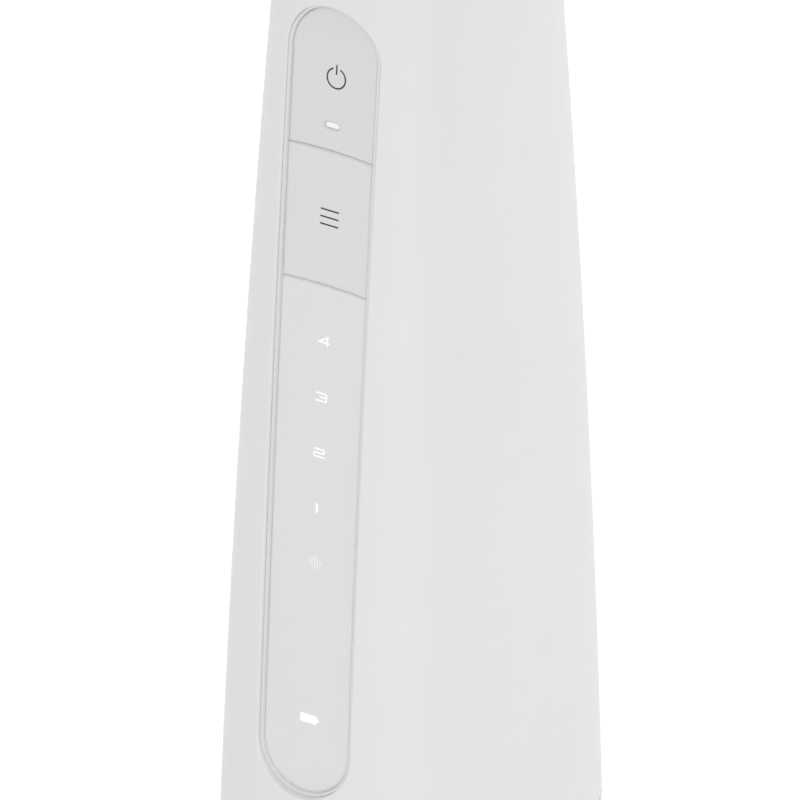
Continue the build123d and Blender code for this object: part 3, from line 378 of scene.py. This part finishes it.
def plate(shape, outline, thickness):
    """Adds a thin plate with that outline to a shape."""
    lower = [shape.verts.new((p[0], p[1], 0)) for p in outline]
    upper = [shape.verts.new((p[0], p[1], thickness)) for p in outline]
    faces = [shape.faces.new(upper), shape.faces.new(lower[::-1])]
    for i in range(len(outline)):
        k = (i + 1) % len(outline)
        shape.faces.new((lower[i], lower[k], upper[k], upper[i]))
    bmesh.ops.triangulate(shape, faces=faces)


def bar_row_tree():
    """Geometry Nodes: a row of like bars with rounded corners, the outer ones shorter."""
    tree = bpy.data.node_groups.new("row_of_bars", "GeometryNodeTree")
    sockets = (("Count", "Int"), ("Pitch", "Float"), ("Length", "Float"), ("Width", "Float"),
               ("Thickness", "Float"), ("Corner", "Float"), ("Taper", "Float"), ("Finish", "Material"))
    for name, kind in sockets:
        tree.interface.new_socket(name, in_out="INPUT", socket_type="NodeSocket" + kind)
    tree.interface.new_socket("Bars", in_out="OUTPUT", socket_type="NodeSocketGeometry")
    given = node_in(tree, "NodeGroupInput").outputs
    link = tree.links.new

    def calculate(operation, a, b):
        node = node_in(tree, "ShaderNodeMath", operation=operation)
        for socket, value in zip(node.inputs, (a, b)):
            if isinstance(value, (int, float)):
                socket.default_value = value
            else:
                link(value, socket)
        return node.outputs[0]

    outline = node_in(tree, "GeometryNodeCurvePrimitiveQuadrilateral")
    link(given["Length"], outline.inputs["Width"])
    link(given["Width"], outline.inputs["Height"])
    rounded = node_in(tree, "GeometryNodeFilletCurve", mode="POLY")
    rounded.inputs["Count"].default_value = 5
    link(outline.outputs[0], rounded.inputs["Curve"])
    link(given["Corner"], rounded.inputs["Radius"])
    filled = node_in(tree, "GeometryNodeFillCurve", mode="TRIANGLES")
    link(rounded.outputs[0], filled.inputs["Curve"])
    raised = node_in(tree, "GeometryNodeExtrudeMesh", {"Individual": False})
    link(filled.outputs[0], raised.inputs["Mesh"])
    link(given["Thickness"], raised.inputs["Offset Scale"])
    under = node_in(tree, "GeometryNodeFlipFaces")
    link(filled.outputs[0], under.inputs[0])
    whole = node_in(tree, "GeometryNodeJoinGeometry")
    link(raised.outputs["Mesh"], whole.inputs[0])
    link(under.outputs[0], whole.inputs[0])
    closed = node_in(tree, "GeometryNodeMergeByDistance", {"Distance": 1e-6})
    link(whole.outputs[0], closed.inputs[0])
    half = calculate("MULTIPLY", calculate("SUBTRACT", given["Count"], 1), 0.5)
    start = node_in(tree, "ShaderNodeCombineXYZ")
    link(calculate("MULTIPLY", half, calculate("MULTIPLY", given["Pitch"], -1)), start.inputs["Y"])
    step = node_in(tree, "ShaderNodeCombineXYZ")
    link(given["Pitch"], step.inputs["Y"])
    line = node_in(tree, "GeometryNodeMeshLine")
    link(given["Count"], line.inputs["Count"])
    link(start.outputs[0], line.inputs["Start Location"])
    link(step.outputs[0], line.inputs["Offset"])
    place = node_in(tree, "GeometryNodeInputIndex").outputs[0]
    away = calculate("ABSOLUTE", calculate("SUBTRACT", place, half), 0)
    size = node_in(tree, "ShaderNodeCombineXYZ", {"Y": 1.0, "Z": 1.0})
    link(calculate("SUBTRACT", 1, calculate("MULTIPLY", away, given["Taper"])), size.inputs["X"])
    bars = node_in(tree, "GeometryNodeInstanceOnPoints")
    link(line.outputs[0], bars.inputs["Points"])
    link(closed.outputs[0], bars.inputs["Instance"])
    link(size.outputs[0], bars.inputs["Scale"])
    real = node_in(tree, "GeometryNodeRealizeInstances")
    link(bars.outputs[0], real.inputs[0])
    finished = node_in(tree, "GeometryNodeSetMaterial")
    link(real.outputs[0], finished.inputs[0])
    link(given["Finish"], finished.inputs["Material"])
    link(finished.outputs[0], node_in(tree, "NodeGroupOutput").inputs[0])
    return tree


row_of_bars = bar_row_tree()


def bar_row(finish, **sizes):
    """Row of bars as a shape: bars run along x, and the row goes along y."""
    holder = bpy.data.objects.new("bars", bpy.data.meshes.new("bars"))
    bpy.context.scene.collection.objects.link(holder)
    modifier = holder.modifiers.new("bars", "NODES")
    modifier.node_group = row_of_bars
    values = {"Taper": 0.0, "Finish": finish, **{key.capitalize(): value for key, value in sizes.items()}}
    for item in row_of_bars.interface.items_tree:
        if item.in_out == "INPUT":
            modifier[item.identifier] = values[item.name]
    mesh = bpy.data.meshes.new_from_object(holder.evaluated_get(bpy.context.evaluated_depsgraph_get()))
    holder.modifiers.remove(modifier)
    bpy.data.objects.remove(holder)
    shape = bmesh.new()
    shape.from_mesh(mesh)
    bpy.data.meshes.remove(mesh)
    return shape


switches = solids_of("tact_switches")
panel_across = Vector((1, 0, 0))
panel_up = (switches[0] - switches[1]).normalized()
ink = moulded("pad_print_ink", ink_grey, rough=0.5, depth=0.000002, drift=0.05)
shift = panel_across * symbol_shift

power_shape = bmesh.new()
ring_steps = 40
ring_turns = [ring_gap + (2 * math.pi - 2 * ring_gap) * i / ring_steps for i in range(ring_steps + 1)]
ring_line = [(ring_radius * math.sin(a), ring_radius * math.cos(a)) for a in ring_turns]
plate(power_shape, outline_of(ring_line, stroke_width), ink_film)
plate(power_shape, outline_of([(0, bar_low), (0, bar_high)], stroke_width), ink_film)
power_symbol = lay(power_shape, "power_symbol", "power_button",
                   switches[0] + shift - panel_up * power_drop, panel_across, panel_up, ink)
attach(power_symbol, "power_button")

lines = bar_row(ink, count=3, pitch=line_pitch, length=line_length, width=stroke_width,
                thickness=ink_film, corner=stroke_width * 0.45)
mode_symbol = lay(lines, "mode_symbol", "mode_button", switches[1] + shift, panel_across, panel_up, ink)
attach(mode_symbol, "mode_button")

# ---------------------------------------------------------------- lit symbols in the lens
# Four level numbers and a battery are left clear in the lens's white backing, and a diode
# behind each lights it. The pulse mark between them is unlit, so it barely shows.
number_glow = 0.10
number_stroke = 0.34 * mm
one_stroke = number_stroke * 1.5
number_corner = 0.3 * mm
number_lift = 0.33 * mm
pulse_lift = 0.55 * mm
pulse_white = (0.90, 0.90, 0.90)
pulse_heights = dict(count=5, pitch=0.60 * mm, length=2.9 * mm, width=0.30 * mm, taper=0.36)
battery_body = (3.5 * mm, 1.75 * mm)
battery_nub = (0.55 * mm, 0.85 * mm)
battery_corner = 0.25 * mm
number_wide = 2.2 * mm
number_tall = 1.5 * mm

lit = glowing("lit_number", window_white, number_glow)


def bowed(points, radius, steps=4):
    """A line with its inner corners rounded off."""
    points = [Vector(p) for p in points]
    line = [points[0]]
    for a, b, c in zip(points, points[1:], points[2:]):
        start = b + (a - b).normalized() * radius
        end = b + (c - b).normalized() * radius
        for k in range(steps + 1):
            t = k / steps
            line.append(start * (1 - t) ** 2 + b * 2 * t * (1 - t) + end * t**2)
    return line + [points[-1]]


wide, tall = number_wide / 2, number_tall / 2
numbers = {
    "four": [[(-wide, -0.3 * tall), (0.68 * wide, 1.15 * tall), (0.68 * wide, -0.95 * tall)],
             [(-wide, -0.3 * tall), (1.1 * wide, -0.3 * tall)]],
    "three": [bowed([(-wide, tall), (wide, tall), (wide, -tall), (-wide, -tall)], number_corner),
              [(-0.25 * wide, 0), (wide, 0)]],
    "two": [bowed([(-wide, tall), (wide, tall), (wide, 0), (-wide, 0), (-wide, -tall), (wide, -tall)],
                  number_corner)],
    "one": [[(0, tall), (0, -tall)]],
}
chips = solids_of("indicator_leds")[1:]
for chip, (name, strokes) in zip(chips, numbers.items()):
    shape = bmesh.new()
    for i, stroke in enumerate(strokes):
        width = one_stroke if name == "one" else number_stroke
        plate(shape, outline_of(stroke, width), ink_film * (1 + 0.2 * i))
    middle = chip + shift + panel_up * number_lift
    number = lay(shape, "number_" + name, "indicator_lens", middle, panel_across, panel_up, lit)
    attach(number, "housing")

unlit = moulded("unlit_mark", pulse_white, rough=0.3, depth=0.000003)
pulse_bars = bar_row(unlit, thickness=ink_film, corner=0.1 * mm, **pulse_heights)
pulse = lay(pulse_bars, "pulse_mark", "indicator_lens", chips[4] + shift + panel_up * pulse_lift,
            panel_up, -panel_across, unlit)
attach(pulse, "housing")

long_half, tall_half = battery_body[0] / 2, battery_body[1] / 2
nub_half = battery_nub[1] / 2
battery_outline = bowed([(-long_half, 0), (-long_half, tall_half), (long_half, tall_half),
                         (long_half, nub_half), (long_half + battery_nub[0], nub_half * 0.5),
                         (long_half + battery_nub[0], -nub_half * 0.5), (long_half, -nub_half),
                         (long_half, -tall_half), (-long_half, -tall_half), (-long_half, 0)],
                        battery_corner * 0.5)[:-1]
battery_shape = bmesh.new()
plate(battery_shape, battery_outline[::-1], ink_film)
battery = lay(battery_shape, "battery_mark", "indicator_lens", chips[5] + shift * 0.6,
              panel_across, panel_up, glowing("lit_battery", window_white, number_glow * 1.3))
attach(battery, "housing")

# ---------------------------------------------------------------- water tank
# The tank is blown from smoky clear copolyester, polished outside, so that the water and the
# suction tube show. Five fill marks stand up a little from its right side.
tank_tone = (0.62, 0.66, 0.68)
tank_clearness = (0.26, 0.78)  # how opaque a wall is face on, and at its edge
tick_grey = (0.55, 0.58, 0.6)
tick_drop = 2 * mm
tick = dict(count=5, pitch=6.0 * mm, length=5.0 * mm, width=0.7 * mm, thickness=0.25 * mm,
            corner=0.3 * mm)


def see_through(name, colour, face_on, edge_on, rough):
    """Clear plastic wall: it hides more where it is seen along its surface."""
    finish = moulded(name, colour, rough=rough, grain=900.0, depth=0.000003)
    shader = finish.node_tree.nodes["Principled BSDF"]
    tree = finish.node_tree
    grazing = node_in(tree, "ShaderNodeLayerWeight", {"Blend": 0.35})
    cover = node_in(tree, "ShaderNodeMapRange", {"To Min": face_on, "To Max": edge_on})
    tree.links.new(grazing.outputs["Facing"], cover.inputs["Value"])
    tree.links.new(cover.outputs["Result"], shader.inputs["Alpha"])
    shader.inputs["IOR"].default_value = 1.57
    shader.inputs["Coat Weight"].default_value = 0.6
    shader.inputs["Coat Roughness"].default_value = 0.05
    return finish


tank_finish = see_through("smoky_copolyester", tank_tone, *tank_clearness, rough=0.14)
dress("tank", tank_finish)
tank_low, tank_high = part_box("tank")
tick_finish = moulded("tank_tick", tick_grey, rough=0.3)
ticks = lay(bar_row(tick_finish, **tick), "tank_level_marks", "tank",
            Vector((0, 0, (tank_low.z + tank_high.z) / 2 - tick_drop)),
            Vector((0, 1, 0)), Vector((0, 0, 1)), tick_finish)
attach(ticks, "tank")

# ---------------------------------------------------------------- rubber parts
# The foot ring is soft grey silicone pressed into the tank's groove. The door seal, valves,
# gasket are the same silicone, the key mat is white, and O-rings and piston seal are nitrile.
silicone_grey = (0.36, 0.37, 0.38)
nitrile_black = (0.035, 0.035, 0.037)
membrane_white = (0.82, 0.82, 0.82)


def rubber(name, colour, rough=0.75):
    """Matt rubber with a dusty fine tooth."""
    finish, shader = start_finish(name)
    tint(shader, noise(shader, 240.0, 4.0), colour, [c * 0.86 for c in colour])
    spread(shader, noise(shader, 900.0, 3.0), rough - 0.08, rough + 0.08, "Roughness")
    raise_grain(shader, (noise(shader, 2600.0, 4.0), 0.00002))
    shader.inputs["Specular IOR Level"].default_value = 0.3
    return finish


grey_silicone = rubber("grey_silicone", silicone_grey)
for name in ("foot_ring", "lid_seal", "pump_valves", "nozzle_gasket"):
    dress(name, grey_silicone)
dress("button_membrane", rubber("white_silicone", membrane_white))
black_nitrile = rubber("black_nitrile", nitrile_black, rough=0.5)
for name in ("port_o_ring", "piston_seal", "stem_o_ring"):
    dress(name, black_nitrile)

# ---------------------------------------------------------------- fill door
# The door on the tank's back is a white moulded leaf with a finger groove, and it swings
# down on a steel pin.
door_white = (0.76, 0.762, 0.765)
dress("tank_lid", moulded("door_leaf", door_white, rough=0.4))

# ---------------------------------------------------------------- inner mouldings
# Floor, chassis, pump and motor cap are glass-filled nylon. The fibres show as pale flecks
# along the flow, and the surface is dull.
nylon_grey = (0.105, 0.11, 0.12)


def filled_nylon(name, colour):
    """Dull nylon with glass fibres that lie along the flow."""
    finish, shader = start_finish(name)
    tint(shader, noise(shader, 1500.0, 5.0, (1, 1, 0.25)), colour, [c * 1.9 for c in colour])
    spread(shader, noise(shader, 600.0, 3.0), 0.5, 0.72, "Roughness")
    raise_grain(shader, (noise(shader, 1800.0, 4.0, (1, 1, 0.25)), 0.00003))
    shader.inputs["Specular IOR Level"].default_value = 0.4
    return finish


nylon = filled_nylon("glass_filled_nylon", nylon_grey)
for name in ("housing_floor", "chassis", "pump_cylinder", "pump_head", "motor_end_cap",
             "nozzle_seat", "tact_switches", "suction_filter", "charge_port"):
    dress(name, nylon)

# ---------------------------------------------------------------- water tubes
# The suction, inlet and outlet tubes are extruded silicone, milky and slightly draggy, with
# the faint draw lines of the die.
tube_milk = (0.66, 0.68, 0.69)
tube_finish, tube_shader = start_finish("milky_silicone")
tint(tube_shader, noise(tube_shader, 90.0, 3.0), tube_milk, [c * 0.93 for c in tube_milk])
spread(tube_shader, noise(tube_shader, 500.0), 0.3, 0.42, "Roughness")
raise_grain(tube_shader, (noise(tube_shader, 2500.0, 3.0, (1, 1, 0.03)), 0.00001))
tube_shader.inputs["Subsurface Weight"].default_value = 0.3
tube_shader.inputs["Subsurface Radius"].default_value = (mm, mm, mm)
tube_shader.inputs["Alpha"].default_value = 0.85
for name in ("suction_tube", "inlet_tube", "outlet_tube"):
    dress(name, tube_finish)

# ---------------------------------------------------------------- metal parts
# Screws, pins, axle, motor can and rotor are plain steel with fine turning or rolling marks.
# The pinion is brass and the battery tabs are nickel strip.
steel_tone = (0.56, 0.56, 0.57)
brass_tone = (0.78, 0.58, 0.27)
nickel_tone = (0.66, 0.64, 0.6)


def metal(name, colour, rough, marks=(1, 1, 1)):
    """Bare metal with tool marks that run across the last direction."""
    finish, shader = start_finish(name)
    tint(shader, noise(shader, 700.0, 4.0), colour, [c * 0.85 for c in colour])
    spread(shader, noise(shader, 1800.0, 4.0, marks), rough - 0.08, rough + 0.12, "Roughness")
    raise_grain(shader, (noise(shader, 4000.0, 3.0, marks), 0.000008))
    shader.inputs["Metallic"].default_value = 1.0
    return finish


screw_steel = metal("screw_steel", steel_tone, 0.32, (1, 1, 6))
for name in ("board_screws", "chassis_screws", "motor_screws", "pump_screws", "seat_screws"):
    dress(name, screw_steel)
ground_steel = metal("ground_steel", steel_tone, 0.22, (8, 1, 1))
for name in ("lid_hinge_pin", "gear_axle", "release_spring"):
    dress(name, ground_steel)
dress("motor_can", metal("drawn_can", [c * 0.95 for c in steel_tone], 0.3, (1, 0.1, 1)))
dress("motor_rotor", metal("rotor_stack", [c * 0.8 for c in steel_tone], 0.4, (1, 12, 1)))
dress("pinion", metal("turned_brass", brass_tone, 0.28, (1, 8, 1)))
dress("battery_tabs", metal("nickel_strip", nickel_tone, 0.3, (1, 5, 1)))

# ---------------------------------------------------------------- magnets, gear and yoke
# The magnets are pressed ferrite, nearly black and chalky. The gear and the piston with its
# yoke are natural acetal, which looks ivory and waxy.
ferrite_grey = (0.045, 0.045, 0.048)
acetal_ivory = (0.83, 0.80, 0.70)
dress("motor_magnets", rubber("pressed_ferrite", ferrite_grey, rough=0.65))
acetal = moulded("natural_acetal", acetal_ivory, rough=0.33, grain=1800.0, drift=0.02)
for name in ("drive_gear", "piston_yoke"):
    dress(name, acetal)

# ---------------------------------------------------------------- control board
# The board is glass laminate under green resist, with copper runs that show as paler lines.
# Its diodes are tiny white lenses.
resist_green = (0.015, 0.13, 0.06)
run_green = (0.04, 0.24, 0.11)
diode_white = (0.9, 0.9, 0.84)
diode_glow = 0.25
board_finish, board_shader = start_finish("green_resist")
runs = node_in(board_finish.node_tree, "ShaderNodeTexBrick", {
    "Scale": 160.0, "Mortar Size": 0.09, "Brick Width": 0.9, "Row Height": 0.32,
    "Color1": (*resist_green, 1), "Color2": (*[c * 1.15 for c in resist_green], 1),
    "Mortar": (*run_green, 1)})
spot = node_in(board_finish.node_tree, "ShaderNodeTexCoord")
upended = node_in(board_finish.node_tree, "ShaderNodeMapping", {"Rotation": (math.pi / 2, 0, 0)})
board_finish.node_tree.links.new(spot.outputs["Object"], upended.inputs["Vector"])
board_finish.node_tree.links.new(upended.outputs["Vector"], runs.inputs["Vector"])
board_finish.node_tree.links.new(runs.outputs["Color"], board_shader.inputs["Base Color"])
spread(board_shader, noise(board_shader, 900.0), 0.25, 0.4, "Roughness")
raise_grain(board_shader, (runs.outputs["Fac"], 0.00003))
dress("control_board", board_finish)
dress("indicator_leds", glowing("diode_lens", diode_white, diode_glow))

# ---------------------------------------------------------------- battery cell
# One round lithium cell in a blue shrink sleeve, which puckers slightly towards its ends.
sleeve_blue = (0.02, 0.12, 0.34)
cell_finish, cell_shader = start_finish("shrink_sleeve")
tint(cell_shader, noise(cell_shader, 60.0, 3.0), sleeve_blue, [c * 0.8 for c in sleeve_blue])
spread(cell_shader, noise(cell_shader, 300.0), 0.2, 0.34, "Roughness")
raise_grain(cell_shader, (noise(cell_shader, 220.0, 3.0, (1, 1, 0.2)), 0.00008))
dress("battery_cell", cell_finish)

# ---------------------------------------------------------------- release slide
# The button on the back of the cap frees the nozzle. It is the same satin white as the keys,
# with three low ribs for the thumb.
rib = dict(count=3, pitch=1.5 * mm, length=8.0 * mm, width=0.6 * mm, thickness=0.35 * mm,
           corner=0.25 * mm)
release_finish = moulded("release_button", key_white, rough=0.4)
dress("nozzle_release", release_finish)
seat_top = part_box("nozzle_seat")[1].z
ribs = lay(bar_row(release_finish, **rib), "release_ribs", "nozzle_release", Vector((0, 0, seat_top)),
           Vector((-1, 0, 0)), Vector((0, 0, 1)), release_finish)
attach(ribs, "nozzle_release")

# ---------------------------------------------------------------- nozzle dial
# A fluted moulding that turns the nozzle. A short raised line on its top and another on the
# cap's deck in front of it show which way the jet points.
line_mark = dict(count=1, pitch=1 * mm, length=1.6 * mm, width=0.6 * mm, thickness=0.2 * mm,
                 corner=0.25 * mm)
dial_line_inset = 3.3 * mm
cap_line_reach = 2.0 * mm
dial_finish = moulded("dial_moulding", shell_white, rough=0.4)
dress("nozzle_dial", dial_finish)
dial_low, dial_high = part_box("nozzle_dial")
forward = Vector((0, -1, 0))
sideways = Vector((1, 0, 0))
dial_line = lay(bar_row(ink, **line_mark), "dial_line", "nozzle_dial",
                Vector((0, dial_low.y + dial_line_inset, dial_high.z)), forward, sideways, ink)
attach(dial_line, "nozzle_dial")
cap_line = lay(bar_row(ink, **line_mark), "cap_line", "top_cap",
               Vector((0, dial_low.y - cap_line_reach, dial_high.z)), forward, sideways, ink)
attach(cap_line, "housing")

# ---------------------------------------------------------------- jet tip
# The tip is glossy white, moulded in one with its stem, and a coloured band snaps round the
# collar so that each user knows their own.
tip_white = (0.80, 0.80, 0.805)
band_blue = (0.22, 0.42, 0.60)
band_height = 1.8 * mm
band_proud = 0.35 * mm
band_segments = 64
band_lift = 2.0 * mm
dress("nozzle_tip", moulded("gloss_tip", tip_white, rough=0.2, depth=0.000003))
collar_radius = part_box("nozzle_tip")[1].x
band_middle = dial_high.z + band_lift
profile = [(-0.9, -0.5), (-0.55, 0.85), (0.0, 1.0), (0.55, 0.85), (0.9, -0.5)]
band_shape = bmesh.new()
rings = []
for i in range(band_segments):
    turn = 2 * math.pi * i / band_segments
    ring = []
    for height, proud in profile:
        radius = collar_radius + proud * band_proud
        ring.append(band_shape.verts.new((radius * math.cos(turn), radius * math.sin(turn),
                                          band_middle + height * band_height / 1.8)))
    rings.append(ring)
for i, ring in enumerate(rings):
    after = rings[(i + 1) % band_segments]
    for k in range(len(profile)):
        n = (k + 1) % len(profile)
        band_shape.faces.new((ring[k], after[k], after[n], ring[n]))
bmesh.ops.recalc_face_normals(band_shape, faces=band_shape.faces)
band = bpy.data.objects.new("tip_band", bpy.data.meshes.new("tip_band"))
band_shape.to_mesh(band.data)
band_shape.free()
band.data.shade_smooth()
band.data.materials.append(moulded("tip_band", band_blue, rough=0.3))
scene.collection.objects.link(band)
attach(band, "nozzle_tip")

# ---------------------------------------------------------------- charging flap
# A soft white silicone flap closes the charging socket on the back, with two ribs along its
# upper edge for the fingernail.
flap_white = (0.74, 0.742, 0.745)
rib_drop = 2.2 * mm
flap_rib = dict(count=2, pitch=1.1 * mm, length=6.0 * mm, width=0.5 * mm, thickness=0.3 * mm,
                corner=0.2 * mm)
flap_finish = rubber("white_silicone", flap_white, rough=0.6)
dress("port_cover", flap_finish)
flap_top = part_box("port_cover")[1].z
flap_ribs = lay(bar_row(flap_finish, **flap_rib), "flap_ribs", "port_cover",
                Vector((0, 0, flap_top - rib_drop)), Vector((-1, 0, 0)), Vector((0, 0, 1)),
                flap_finish)
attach(flap_ribs, "port_cover")
